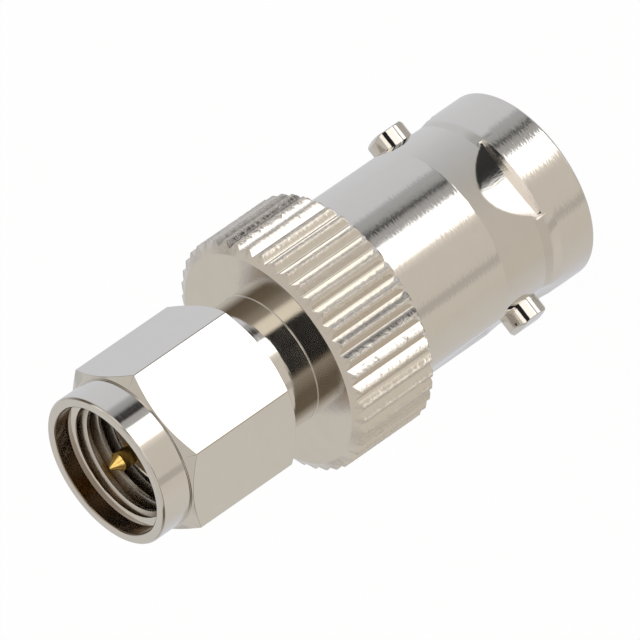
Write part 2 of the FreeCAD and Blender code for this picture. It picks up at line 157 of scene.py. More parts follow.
class NodeBook:
    """Node tree that is filled through one method."""

    def __init__(self, tree: bpy.types.NodeTree) -> None:
        """Empty the tree.

        Args:
            tree: node tree of a material or of the world.
        """
        self.tree = tree
        tree.nodes.clear()

    def add(
        self,
        kind: str,
        settings: dict[str, object] | None = None,
        sockets: dict[str | int, object] | None = None,
        output: str | int = 0,
    ) -> Signal:
        """Add a node, its settings first and then its sockets.

        Args:
            kind: type of the node.
            settings: properties of the node; "stops" fills a colour ramp with pairs of place and colour.
            sockets: value or signal for each named or numbered input.
            output: output that the result stands for.

        Returns:
            The chosen output, or a signal without a socket where the node has no output.
        """
        node = self.tree.nodes.new(kind)
        for name, setting in (settings or {}).items():
            if name == "stops":
                self._fill_ramp(node.color_ramp, setting)
            else:
                setattr(node, name, setting)
        for name, value in (sockets or {}).items():
            if isinstance(value, Signal):
                self.tree.links.new(value.socket, node.inputs[name])
            else:
                node.inputs[name].default_value = value
        return Signal(self, node.outputs[output] if node.outputs else None)

    @staticmethod
    def _fill_ramp(ramp: bpy.types.ColorRamp, stops: Sequence[tuple[float, tuple[float, ...]]]) -> None:
        """Set the stops of a colour ramp."""
        while len(ramp.elements) < len(stops):
            ramp.elements.new(1.0)
        for element, (place, colour) in zip(ramp.elements, stops):
            element.position = place
            element.color = (*colour, 1.0)

    def split(self, vector: Signal) -> tuple[Signal, Signal, Signal]:
        """Take a vector apart.

        Args:
            vector: signal of three numbers.

        Returns:
            Its three numbers.
        """
        parted = self.add("ShaderNodeSeparateXYZ", sockets={0: vector})
        outputs = parted.socket.node.outputs
        return Signal(self, outputs[0]), Signal(self, outputs[1]), Signal(self, outputs[2])

    def scaled(self, vector: Signal, across: float, along: float) -> Signal:
        """Vector scaled across the axis and along it."""
        return self.add(
            "ShaderNodeVectorMath", {"operation": "MULTIPLY"}, {0: vector, 1: (across, across, along)}
        )

    def noise(self, vector: Signal, scale: float, detail: float = 2.0) -> Signal:
        """Noise from 0 to 1 at a point."""
        return self.add("ShaderNodeTexNoise", sockets={"Vector": vector, "Scale": scale, "Detail": detail})

    def eased(self, value: Signal, start: float, end: float) -> Signal:
        """Smooth step from 0 at the start to 1 at the end."""
        return self.add(
            "ShaderNodeMapRange",
            {"interpolation_type": "SMOOTHSTEP"},
            {"Value": value, "From Min": start, "From Max": end},
        )

    def blend(self, share: Signal, first: object, second: object) -> Signal:
        """Colour between two colours."""
        return self.add(
            "ShaderNodeMix", {"data_type": "RGBA"}, {0: share, 6: first, 7: second}, output=2
        )


# Finishes


@dataclass(frozen=True)
class Relief:
    """Fine relief of a surface: noise stretched across or along the axis."""

    per_mm_across: float
    per_mm_along: float
    height: float
    detail: float = 2.0

    def add_to(self, book: NodeBook, place: Signal) -> Signal:
        """Height of this relief in millimetres."""
        spread = book.scaled(place, self.per_mm_across / MM, self.per_mm_along / MM)
        return (book.noise(spread, 1.0, self.detail) - 0.5) * self.height


@dataclass(frozen=True)
class MetalFinish:
    """Plated or bare metal with its tint, polish and marks, and painted shade where its mask asks for it."""

    name: str
    tint: tuple[float, float, float]
    worn_tint: tuple[float, float, float]
    roughness: float
    roughness_spread: float
    reliefs: tuple[Relief, ...]
    mask: str = ""
    masked_roughness: float = 0.0
    masked_reliefs: tuple[Relief, ...] = ()
    # Colour of the painted shade that the mask lays on bores and thread roots
    painted_shade_tint: tuple[float, float, float] | None = None

    def build(self) -> bpy.types.Material:
        """Material of this finish.

        Returns:
            The new material.
        """
        material = bpy.data.materials.new(self.name)
        material.use_nodes = True
        book = NodeBook(material.node_tree)
        place = book.add("ShaderNodeTexCoord", output="Object")
        patches = book.noise(place, 1.1 / MM, 3.0)
        height = sum((relief.add_to(book, place) for relief in self.reliefs), 0.0)
        roughness = (patches - 0.5) * self.roughness_spread + self.roughness
        colour = book.blend(patches, (*self.tint, 1.0), (*self.worn_tint, 1.0))
        if self.mask:
            masked = book.add("ShaderNodeAttribute", {"attribute_name": self.mask}, output="Fac")
            if self.masked_reliefs:
                extra = sum((relief.add_to(book, place) for relief in self.masked_reliefs), 0.0)
                height = height + masked * extra
            roughness = roughness + masked * self.masked_roughness
            # Painted shade: the mask darkens its part towards this colour
            if self.painted_shade_tint:
                colour = book.blend(masked, colour, (*self.painted_shade_tint, 1.0))
        normal = book.add("ShaderNodeBump", sockets={"Strength": 1.0, "Distance": MM, "Height": height})
        shader = book.add(
            "ShaderNodeBsdfPrincipled",
            sockets={
                "Base Color": colour,
                "Metallic": 1.0,
                "Roughness": roughness,
                "Normal": normal,
            },
        )
        book.add("ShaderNodeOutputMaterial", sockets={"Surface": shader})
        return material


@dataclass(frozen=True)
class PlasticFinish:
    """Waxy white fluoroplastic with faint turning rings."""

    name: str
    tint: tuple[float, float, float]
    dull_tint: tuple[float, float, float]
    roughness: float

    def build(self) -> bpy.types.Material:
        """Material of this finish.

        Returns:
            The new material.
        """
        material = bpy.data.materials.new(self.name)
        material.use_nodes = True
        book = NodeBook(material.node_tree)
        place = book.add("ShaderNodeTexCoord", output="Object")
        distance = book.add(
            "ShaderNodeVectorMath", {"operation": "LENGTH"}, {0: book.scaled(place, 1.0, 0.0)}, output="Value"
        )
        rings = book.add("ShaderNodeMath", {"operation": "SINE"}, {0: distance * (2 * math.pi / (0.11 * MM))})
        clouds = book.noise(place, 0.8 / MM, 3.0)
        normal = book.add(
            "ShaderNodeBump",
            sockets={"Strength": 1.0, "Distance": MM, "Height": rings * 0.0015 + clouds * 0.004},
        )
        shader = book.add(
            "ShaderNodeBsdfPrincipled",
            sockets={
                "Base Color": book.blend(clouds, (*self.tint, 1.0), (*self.dull_tint, 1.0)),
                "Roughness": (clouds - 0.5) * 0.12 + self.roughness,
                "Subsurface Weight": 0.15,
                "Subsurface Radius": (0.4 * MM, 0.4 * MM, 0.35 * MM),
                "Normal": normal,
            },
        )
        book.add("ShaderNodeOutputMaterial", sockets={"Surface": shader})
        return material


NICKEL_TINT = (0.800, 0.780, 0.745)
NICKEL_SHADE = (0.770, 0.748, 0.710)

BARREL_NICKEL = MetalFinish(
    name="turned_nickel",
    tint=NICKEL_TINT,
    worn_tint=NICKEL_SHADE,
    roughness=0.055,
    roughness_spread=0.03,
    reliefs=(Relief(3.0, 10.0, 0.0014), Relief(0.35, 0.35, 0.0050)),
    mask="milled",
    masked_roughness=0.04,
    masked_reliefs=(Relief(14.0, 1.2, 0.0022),),
)
FLANGE_NICKEL = MetalFinish(
    name="knurled_nickel",
    tint=(0.820, 0.785, 0.730),
    worn_tint=(0.780, 0.740, 0.680),
    roughness=0.13,
    roughness_spread=0.05,
    reliefs=(Relief(2.0, 13.0, 0.0020), Relief(10.0, 10.0, 0.0030)),
    mask="crest",
    masked_roughness=0.04,
    masked_reliefs=(Relief(13.0, 13.0, 0.0650, 3.0),),
)
PLUG_NICKEL = MetalFinish(
    name="burnished_nickel",
    tint=NICKEL_TINT,
    worn_tint=NICKEL_SHADE,
    roughness=0.07,
    roughness_spread=0.03,
    reliefs=(Relief(0.9, 9.0, 0.0020), Relief(0.8, 0.8, 0.0040)),
    # Painted shade: the sleeve's bore is tinted dark brown
    mask="bore",
    masked_roughness=0.15,
    painted_shade_tint=(0.24, 0.18, 0.12),
)
NUT_NICKEL = MetalFinish(
    name="bright_nickel",
    tint=NICKEL_TINT,
    worn_tint=NICKEL_SHADE,
    roughness=0.06,
    roughness_spread=0.03,
    reliefs=(Relief(1.5, 10.0, 0.0012), Relief(0.5, 0.5, 0.0040)),
    # Painted shade: the nut's bore and a line on its hexagon's corners are tinted brown
    mask="bore",
    masked_roughness=0.10,
    painted_shade_tint=(0.36, 0.28, 0.21),
)
THREAD_NICKEL = MetalFinish(
    name="threaded_nickel",
    tint=NICKEL_TINT,
    worn_tint=NICKEL_SHADE,
    roughness=0.22,
    roughness_spread=0.05,
    reliefs=(Relief(1.0, 9.0, 0.0020),),
    # Painted shade: the thread darkens from its crests to its roots
    mask="bore",
    masked_roughness=0.02,
    painted_shade_tint=(0.40, 0.32, 0.25),
)
SPRING_BRONZE = MetalFinish(
    name="spring_bronze",
    tint=(0.70, 0.47, 0.27),
    worn_tint=(0.62, 0.40, 0.22),
    roughness=0.28,
    roughness_spread=0.10,
    reliefs=(Relief(6.0, 6.0, 0.0060),),
)
CONTACT_GOLD = MetalFinish(
    name="plated_gold",
    tint=(1.00, 0.74, 0.25),
    worn_tint=(0.94, 0.66, 0.20),
    roughness=0.14,
    roughness_spread=0.05,
    reliefs=(Relief(3.0, 18.0, 0.0020),),
)
FLUOROPLASTIC = PlasticFinish(
    name="white_fluoroplastic",
    tint=(0.86, 0.85, 0.82),
    dull_tint=(0.80, 0.79, 0.75),
    roughness=0.42,
)


# Forms


def nearest_vertex(form: bmesh.types.BMesh, place: Vector) -> bmesh.types.BMVert:
    """Vertex of a form that is nearest to a place."""
    return min(form.verts, key=lambda vertex: (vertex.co - place).length)


def repeat_form(form: bmesh.types.BMesh, count: int, move: Callable[[int], Matrix]) -> None:
    """Copy a form along a row of moves and merge the copies where they meet.

    Args:
        form: mesh that is copied and gets the copies.
        count: number of copies, the first one included.
        move: place of each numbered copy against the first.
    """
    first = form.verts[:] + form.edges[:] + form.faces[:]
    for turn in range(1, count):
        copied = bmesh.ops.duplicate(form, geom=first)
        points = [piece for piece in copied["geom"] if isinstance(piece, bmesh.types.BMVert)]
        bmesh.ops.transform(form, matrix=move(turn), verts=points)
    bmesh.ops.remove_doubles(form, verts=form.verts, dist=MERGE_REACH)


def spin_form(corners: Sequence[Corner], steps: int, rows: dict[int, int] | None = None) -> bmesh.types.BMesh:
    """Turned form swept from a closed outline.

    Args:
        corners: radius, height and ease of each corner in millimetres; an eased corner is rounded.
        steps: columns round the axis.
        rows: cuts of the outline's edge that leaves a numbered corner.

    Returns:
        A closed form with one column of vertices for each step, the first at +X.
    """
    form = bmesh.new()
    points = [form.verts.new((radius, 0.0, height)) for radius, height, _ease in corners]
    edges = [form.edges.new((point, points[place - len(points) + 1])) for place, point in enumerate(points)]
    for place, cuts in (rows or {}).items():
        bmesh.ops.subdivide_edges(form, edges=[edges[place]], cuts=cuts)
    for radius, height, ease in corners:
        if ease:
            point = nearest_vertex(form, Vector((radius, 0.0, height)))
            bmesh.ops.bevel(
                form, geom=[point], offset=ease, affect="VERTICES", segments=3, profile=0.5, material=-1
            )
    bmesh.ops.spin(
        form,
        geom=form.verts[:] + form.edges[:],
        cent=(0, 0, 0),
        axis=(0, 0, 1),
        dvec=(0, 0, 0),
        angle=math.radians(FULL_TURN / SECTORS),
        steps=steps // SECTORS,
        use_merge=False,
        use_duplicate=False,
    )
    repeat_form(form, SECTORS, lambda turn: Matrix.Rotation(math.radians(FULL_TURN * turn / SECTORS), 4, "Z"))
    bmesh.ops.recalc_face_normals(form, faces=form.faces)
    return form


def polar(point: Vector) -> tuple[float, float]:
    """Radius and angle in degrees of a point about the axis."""
    return math.hypot(point.x, point.y), math.degrees(math.atan2(point.y, point.x))


def set_polar(vertex: bmesh.types.BMVert, radius: float, angle: float, height: float) -> None:
    """Move a vertex to a radius, an angle in degrees and a height."""
    turn = math.radians(angle)
    vertex.co = (radius * math.cos(turn), radius * math.sin(turn), height)


def soft_min(first: float, second: float, blend: float) -> float:
    """Smaller of two values, rounded where they cross.

    Args:
        first: one value.
        second: the other value.
        blend: difference within which the crossing is rounded.

    Returns:
        The blended minimum.
    """
    share = max(blend - abs(first - second), 0.0) / blend
    return min(first, second) - share * share * blend / 4


@dataclass
class Bench:
    """Turns finished forms into objects of the scene."""

    materials: dict[str, bpy.types.Material] = field(default_factory=dict)

    def material(self, finish: MetalFinish | PlasticFinish) -> bpy.types.Material:
        """Material of a finish, made once."""
        if finish.name not in self.materials:
            self.materials[finish.name] = finish.build()
        return self.materials[finish.name]

    def place(
        self,
        form: bmesh.types.BMesh,
        name: str,
        finish: MetalFinish | PlasticFinish,
        node: str,
        carrier: Carrier,
        slot: Slot,
        sharp: float = 40.0,
    ) -> None:
        """Make a form an object in metres that stands for a node of the frame.

        Args:
            form: mesh in millimetres, used up here.
            name: name of the piece.
            finish: surface of the piece.
            node: solid of the frame that it replaces.
            carrier: body that it rides on.
            slot: material slot of the record; not used.
            sharp: angle in degrees above which an edge keeps a hard shade.
        """
        draft = bpy.data.meshes.new(name)
        form.to_mesh(draft)
        form.free()
        draft.shade_smooth()
        draft.set_sharp_from_angle(angle=math.radians(sharp))
        piece = bpy.data.objects.new(name, draft)
        bpy.context.scene.collection.objects.link(piece)
        weighting = piece.modifiers.new("weighted_normals", "WEIGHTED_NORMAL")
        weighting.keep_sharp = True
        weighting.thresh = 0.0
        shaded = piece.evaluated_get(bpy.context.evaluated_depsgraph_get())
        mesh = bpy.data.meshes.new_from_object(shaded)
        mesh.transform(Matrix.Scale(MM, 4))
        piece.modifiers.clear()
        piece.data = mesh
        bpy.data.meshes.remove(draft)
        mesh.name = name
        mesh.materials.append(self.material(finish))
        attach(piece, carrier.value)
        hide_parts(node)
        LOG.info("%s: %d faces for %s", name, len(mesh.polygons), node)

    def dress(self, node: str, finish: MetalFinish | PlasticFinish) -> None:
        """Give a solid of the frame that stays a finish of its own.

        Args:
            node: solid that is shown as it is.
            finish: its surface.
        """
        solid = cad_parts[node]
        for place in range(len(solid.material_slots)):
            solid.material_slots[place].material = self.material(finish)
        LOG.info("%s: dressed in %s", node, finish.name)


# Jack


@dataclass
class JackBarrel:
    """Barrel of the bayonet jack with its front ring, milled stretch, side scoops and spot-faces."""

    levels: Levels
    barrel_radius: float = 4.83
    mouth_bevel: float = 0.12
    lead_in: float = 0.20
    ring_width: float = 2.60
    step_run: float = 0.42
    relief_length: float = 2.96
    relief_depth: float = 0.11
    scoop_depth: float = 0.40
    scoop_length: float = 1.95
    scoop_crown: float = 9.40
    lug_setback: float = 4.11
    spot_depth: float = 0.25
    spot_radius: float = 1.52
    spot_slope: float = 15.0
    bore_radius: float = 4.06
    bore_depth: float = 8.80
    post_hole: float = 2.36
    spigot_hole: float = 3.00
    rear_setback: float = 0.44
    crease: float = 0.03
    wall_skin: float = 0.01
    cut_reach: float = 50.0
    milled_fade: float = 0.05
    step_residue: float = 0.01
    step_fade: float = 4.0
    step_full_depth: float = 0.04
    steps: int = 720
    relief_rows: int = 62

    def outline(self) -> tuple[Corner, ...]:
        """Closed outline of the barrel.

        Returns:
            Corners from the mouth up the outside and down the bores.
        """
        rear = self.levels.flange_face - self.rear_setback
        floor = self.levels.spigot_floor
        return (
            (self.barrel_radius - self.mouth_bevel, 0.0, 0.03),
            (self.barrel_radius, self.mouth_bevel, 0.03),
            (self.barrel_radius, self.ring_width, 0.0),
            (self.barrel_radius - self.relief_depth, self.ring_width + self.step_run, 0.16),
            (self.barrel_radius, self.ring_width + self.relief_length, 0.03),
            (self.barrel_radius, rear, 0.0),
            (self.spigot_hole, rear, 0.0),
            (self.spigot_hole, floor, 0.0),
            (self.post_hole, floor, 0.0),
            (self.post_hole, self.bore_depth, 0.0),
            (self.bore_radius, self.bore_depth, 0.05),
            (self.bore_radius, self.lead_in, 0.03),
            (self.bore_radius + self.lead_in, 0.0, 0.03),
        )

    def scoop_radius_at(self, turn: float, height: float) -> float:
        """Radius of a scoop's floor.

        Args:
            turn: angle from the scoop's middle in radians.
            height: height above the mouth.

        Returns:
            Radius in millimetres.
        """
        rise = (self.scoop_depth - self.relief_depth / 2) / self.scoop_length
        crown = self.barrel_radius - self.scoop_depth + rise * (height - self.ring_width)
        centre = crown - self.scoop_crown
        side = centre * math.sin(turn)
        return centre * math.cos(turn) + math.sqrt(self.scoop_crown**2 - side**2)

    def step_height(self, height: float, depth: float) -> float:
        """Height of a vertex once the sloping step stands upright where a scoop cuts it.

        Args:
            height: height of the vertex on the sloping step.
            depth: how deep the scoop lies under it.

        Returns:
            Its new height.
        """
        rise = height - self.ring_width
        upright = max(rise - self.step_run, self.step_residue * rise)
        fade = min(max(self.step_fade - rise / self.step_run, 0.0), 1.0)
        share = min(max(depth / self.step_full_depth, 0.0), 1.0) * fade
        return height + (upright - rise) * share

    def spot_radius_at(self, turn: float, height: float) -> float:
        """Radius of the floor milled round a lug.

        Args:
            turn: angle from the lug in radians.
            height: height above the mouth.

        Returns:
            Radius in millimetres.
        """
        level = self.barrel_radius - self.spot_depth
        across = level * math.tan(turn)
        away = math.hypot(across, height - self.lug_setback)
        run_out = max(away - self.spot_radius, 0.0) * math.tan(math.radians(self.spot_slope))
        return (level + run_out) / math.cos(turn)

    def carve(self, form: bmesh.types.BMesh) -> None:
        """Sink the scoops and the spot-faces into the milled stretch and the ring.

        Args:
            form: turned barrel, whose vertices move and get a mask of the milled floor.
        """
        milled = form.verts.layers.float.new("milled")
        relief_end = self.ring_width + self.relief_length
        for vertex in form.verts:
            radius, angle = polar(vertex.co)
            height = vertex.co.z
            if radius < self.barrel_radius - self.relief_depth - self.wall_skin:
                continue
            side = (angle + 90.0) % 180.0
            lug = side - 90.0
            scoop = ((angle + 180.0) % 180.0) - 90.0
            carved = radius
            on_floor = self.ring_width + TOUCH / 2 < height < relief_end + self.ring_width
            if on_floor and abs(scoop) < self.cut_reach:
                turn = math.radians(scoop)
                height = self.step_height(height, radius - self.scoop_radius_at(turn, height))
                floor = self.scoop_radius_at(turn, height)
                carved = soft_min(carved, floor, self.crease)
                vertex[milled] = min(max((radius - floor) / self.milled_fade + 0.5, 0.0), 1.0)
            if abs(lug) < self.cut_reach:
                carved = soft_min(carved, self.spot_radius_at(math.radians(lug), height), self.crease / 2)
            set_polar(vertex, carved, angle, height)

    def build(self, bench: Bench) -> None:
        """Make the barrel.

        Args:
            bench: maker of the finished object.
        """
        form = spin_form(self.outline(), self.steps, {3: self.relief_rows, 1: 3})
        self.carve(form)
        bench.place(form, "jack_barrel", BARREL_NICKEL, "jack_body", Carrier.ADAPTER, Slot.JACK_NICKEL)


@dataclass
class BayonetLugs:
    """Two round lugs whose tips are turned with the barrel."""

    setback: float = 4.11
    lug_radius: float = 1.00
    tip_radius: float = 5.525
    tip_bevel: float = 0.24
    tip_land: float = 1.20
    foot_radius: float = 4.30
    edge: float = 0.04
    steps: int = 96

    def tip_at(self, across: float, along: float) -> float:
        """Distance of a lug's tip from the adapter's axis.

        Args:
            across: place across the axis from the lug's middle.
            along: place along the axis from the lug's middle.

        Returns:
            Distance in millimetres.
        """
        land = self.tip_land / 2
        beyond = max(abs(along) - land, 0.0) / (self.lug_radius - land)
        reach = self.tip_radius - self.tip_bevel * beyond
        return math.sqrt(reach**2 - across**2)

    def build(self, bench: Bench) -> None:
        """Make both lugs.

        Args:
            bench: maker of the finished objects.
        """
        outline = (
            (0.0, self.foot_radius, 0.0),
            (self.lug_radius, self.foot_radius, 0.0),
            (self.lug_radius, self.tip_radius, self.edge),
            (0.0, self.tip_radius, 0.0),
        )
        for name, side in (("bayonet_lug_right", 1.0), ("bayonet_lug_left", -1.0)):
            form = spin_form(outline, self.steps, {0: 4, 2: 24})
            for vertex in form.verts:
                across, along, reach = vertex.co
                drop = self.tip_radius - reach
                outward = self.tip_at(across, along) - drop if reach > self.foot_radius else reach
                vertex.co = (side * outward, side * across, along + self.setback)
            bmesh.ops.recalc_face_normals(form, faces=form.faces)
            bench.place(form, name, BARREL_NICKEL, "jack_body", Carrier.ADAPTER, Slot.JACK_NICKEL)


@dataclass
class GripFlange:
    """Straight-knurled flange whose grooves run out on its front bevel."""

    levels: Levels
    length: float = 4.70
    crest_radius: float = 6.02
    bevel_height: float = 0.57
    bevel_length: float = 0.35
    rear_bevel: float = 0.15
    inner_radius: float = 4.80
    seat_radius: float = 3.00
    seat_bevel: float = 0.08
    seat_depth: float = 0.40
    grooves: int = 45
    groove_depth: float = 0.33
    crest_land: float = 0.10
    first_groove: float = 6.3
    crest_wander: float = 0.040
    crest_wear: float = 0.030
    crest_reach: float = 0.15
    crest_gain: float = 1.5
    groove_rows: int = 84

    # Places of the columns from one groove's root to the next, in shares of the pitch
    COLUMNS = (0.0, 0.035, 0.17, 0.30, 0.400, 0.450, 0.5, 0.550, 0.600, 0.70, 0.83, 0.965)

    # Wear per degree, per millimetre of height and per pitch, and the shift to a second wear
    WEAR_SCALE = (0.9, 7.0, 3.0)
    WEAR_SHIFT = (31.0, 0.0, 0.0)

    def outline(self) -> tuple[Corner, ...]:
        """Closed outline of the flange.

        Returns:
            Corners from the rear up the outside, over the front bevel and down the seat.
        """
        face = self.levels.flange_face
        rear = face - self.length
        inside = face - self.seat_depth
        return (
            (self.inner_radius, rear, 0.0),
            (self.crest_radius - self.rear_bevel, rear, 0.0),
            (self.crest_radius, rear + self.rear_bevel, 0.0),
            (self.crest_radius, face - self.bevel_length, 0.0),
            (self.crest_radius - self.bevel_height, face, 0.03),
            (self.seat_radius + self.seat_bevel, face, 0.0),
            (self.seat_radius, face - self.seat_bevel, 0.0),
            (self.seat_radius, inside, 0.0),
            (self.inner_radius, inside, 0.0),
        )

    def knurl_at(self, share: float) -> float:
        """Radius of the knurl.

        Args:
            share: place from a groove's root, in shares of the pitch.

        Returns:
            Radius in millimetres.
        """
        pitch = 2 * math.pi * self.crest_radius / self.grooves
        half_groove = (pitch - self.crest_land) / 2
        away = max(min(share, 1.0 - share), self.COLUMNS[1]) * pitch
        return self.crest_radius - self.groove_depth * max(1.0 - away / half_groove, 0.0)

    def bevel_height_at(self, radius: float) -> float:
        """Height at which a radius meets the front bevel."""
        share = (self.crest_radius - radius) / self.bevel_height
        return self.levels.flange_face - self.bevel_length * (1.0 - share)

    def rear_height_at(self, radius: float) -> float:
        """Height at which a radius meets the rear bevel, for a radius outside the bevel's foot."""
        rear = self.levels.flange_face - self.length
        return rear + max(self.rear_bevel - (self.crest_radius - radius), 0.0)

    def cut(self, form: bmesh.types.BMesh) -> None:
        """Cut the grooves and wear the crests.

        Args:
            form: turned flange, whose vertices move and get a mask of the crests.
        """
        crest = form.verts.layers.float.new("crest")
        pitch = FULL_TURN / self.grooves
        step = pitch / len(self.COLUMNS)
        rear = self.levels.flange_face - self.length
        low, high = rear + self.rear_bevel, self.levels.flange_face - self.bevel_length
        for vertex in form.verts:
            radius, angle = polar(vertex.co)
            height = vertex.co.z
            column = round(angle / step)
            groove, place = divmod(column, len(self.COLUMNS))
            share = self.COLUMNS[place]
            angle = (groove + share) * pitch + self.first_groove
            knurl = self.knurl_at(share)
            on_wall = radius > self.crest_radius - TOUCH
            if radius > self.crest_radius - self.rear_bevel - TOUCH and height < rear + TOUCH:
                radius = min(radius, knurl)
            elif on_wall:
                along = (height - low) / (high - low)
                start, end = self.rear_height_at(knurl), self.bevel_height_at(knurl)
                height = start + (end - start) * along
                radius = knurl
                edge = max(1.0 - abs(share - 0.5) / self.crest_reach, 0.0)
                edge = min(edge * self.crest_gain, 1.0)
                if edge > 0.0 and 0.0 < along < 1.0:
                    radius, angle = self._wear(radius, angle, height, share)
                vertex[crest] = edge
            set_polar(vertex, radius, angle, height)

    def _wear(self, radius: float, angle: float, height: float, share: float) -> tuple[float, float]:
        """Dent a vertex of a crest.

        Args:
            radius: radius of the vertex.
            angle: angle of the vertex in degrees.
            height: height of the vertex.
            share: place from a groove's root, in shares of the pitch.

        Returns:
            Its new radius and angle.
        """
        by_angle, by_height, by_share = self.WEAR_SCALE
        spot = Vector((angle * by_angle, height * by_height, share * by_share))
        dent = abs(noise.noise(spot)) * self.crest_wear
        wander = noise.noise(spot + Vector(self.WEAR_SHIFT)) * self.crest_wander
        return radius - dent, angle + math.degrees(wander / radius)

    def build(self, bench: Bench) -> None:
        """Make the flange.

        Args:
            bench: maker of the finished object.
        """
        form = spin_form(self.outline(), self.grooves * len(self.COLUMNS), {2: self.groove_rows})
        self.cut(form)
        bench.place(
            form, "grip_flange", FLANGE_NICKEL, "jack_body", Carrier.ADAPTER, Slot.JACK_NICKEL, sharp=50.0
        )


# Plug


@dataclass
class PlugShell:
    """Neck, bearing spindle and contact sleeve of the screw plug."""

    levels: Levels
    spigot_radius: float = 3.00
    neck_radius: float = 3.28
    nut_gap: float = 0.10
    neck_bevel: float = 0.10
    neck_root: float = 0.05
    seat_depth: float = 0.10
    face_gap: float = 0.002
    spindle_radius: float = 2.70
    spindle_length: float = 3.24
    groove_radius: float = 2.34
    groove_rise: float = 1.08
    groove_width: float = 0.74
    sleeve_radius: float = 2.295
    sleeve_bore: float = 2.07
    sleeve_bevel: float = 0.06
    steps: int = 252

    def outline(self) -> tuple[Corner, ...]:
        """Closed outline of the plug body.

        Returns:
            Corners from the spigot up to the sleeve's end.
        """
        floor = self.levels.spigot_floor
        face = self.levels.flange_face
        neck_top = self.levels.nut_base - self.nut_gap
        groove = self.levels.nut_base + self.groove_rise
        root = neck_top + self.spindle_length
        end = self.levels.sleeve_end
        return (
            (self.sleeve_bore, floor, 0.0),
            (self.spigot_radius, floor, 0.0),
            (self.spigot_radius, face - self.seat_depth, 0.0),
            (self.neck_radius + self.neck_root, face - self.seat_depth, 0.0),
            (self.neck_radius + self.neck_root, face + self.face_gap, 0.0),
            (self.neck_radius, face + self.face_gap, self.neck_root - 0.005),
            (self.neck_radius, neck_top - self.neck_bevel, 0.03),
            (self.neck_radius - self.neck_bevel, neck_top, 0.03),
            (self.spindle_radius, neck_top, 0.0),
            (self.spindle_radius, groove, 0.0),
            (self.groove_radius, groove, 0.0),
            (self.groove_radius, groove + self.groove_width, 0.0),
            (self.spindle_radius, groove + self.groove_width, 0.0),
            (self.spindle_radius, root - self.neck_bevel, 0.0),
            (self.spindle_radius - self.neck_bevel, root, 0.0),
            (self.sleeve_radius, root, 0.0),
            (self.sleeve_radius, end - self.sleeve_bevel, 0.02),
            (self.sleeve_radius - self.sleeve_bevel, end, 0.02),
            (self.sleeve_bore, end, 0.02),
        )

    def build(self, bench: Bench) -> None:
        """Make the plug shell.

        Args:
            bench: maker of the finished object.
        """
        form = spin_form(self.outline(), self.steps)
        # The bore mask marks the sleeve's inside for painted shade
        bore = form.verts.layers.float.new("bore")
        for vertex in form.verts:
            vertex[bore] = float(polar(vertex.co)[0] < self.sleeve_bore + 0.01)
        bench.place(form, "plug_shell", PLUG_NICKEL, "plug_body", Carrier.ADAPTER, Slot.PLUG_NICKEL)


